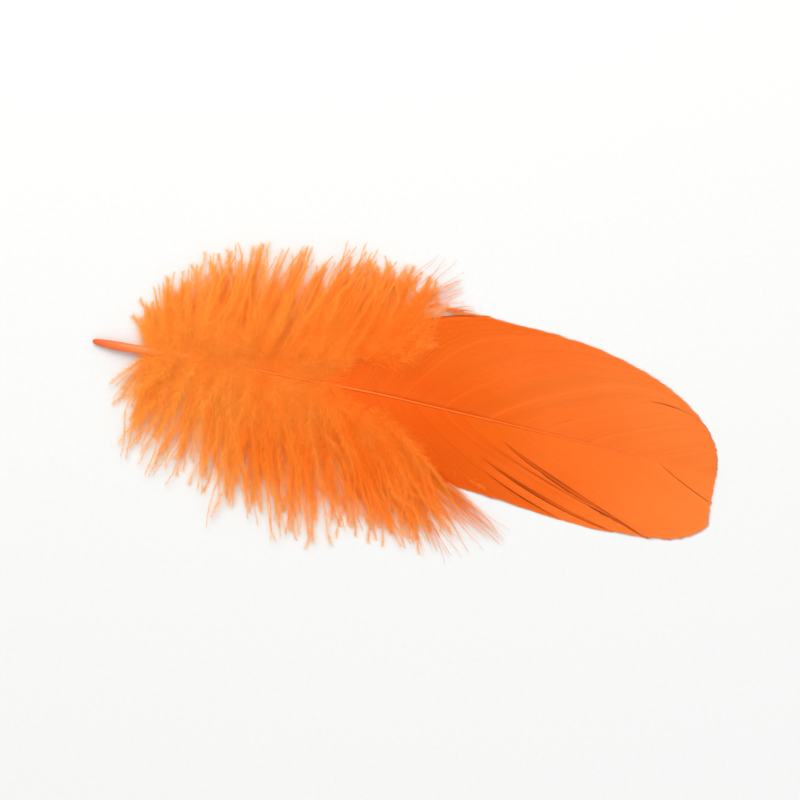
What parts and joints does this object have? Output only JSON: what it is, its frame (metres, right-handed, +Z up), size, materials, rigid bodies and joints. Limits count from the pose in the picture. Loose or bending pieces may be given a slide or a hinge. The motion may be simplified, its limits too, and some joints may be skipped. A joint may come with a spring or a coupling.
{
  "type": "goose feather",
  "caption": "Broad goose body feather dyed orange: rounded quill, tapering shaft, long soft down at the base and a blunt closed web, lying flat.",
  "frame": {"origin": "on the surface the feather lies on, under the middle of its box", "axes": "+X along the feather from the quill end to the blunt tip, +Y towards the wide web, +Z up from the surface"},
  "size_m": [0.162, 0.0758, 0.0068],
  "materials": {
    "dyed_horn": "satin horn (keratin) of the quill, dyed pale orange",
    "dyed_web": "closed web of fine barbs, dyed orange, soft satin sheen along the barbs",
    "dyed_down": "loose fluffy down, dyed a lighter orange, matt and partly see-through at the tips"
  },
  "bodies": {
    "root": {"shaft": "dyed_horn", "vane_upper": "dyed_web", "vane_lower": "dyed_web", "down_upper": "dyed_down", "down_lower": "dyed_down"}
  },
  "joints": []
}
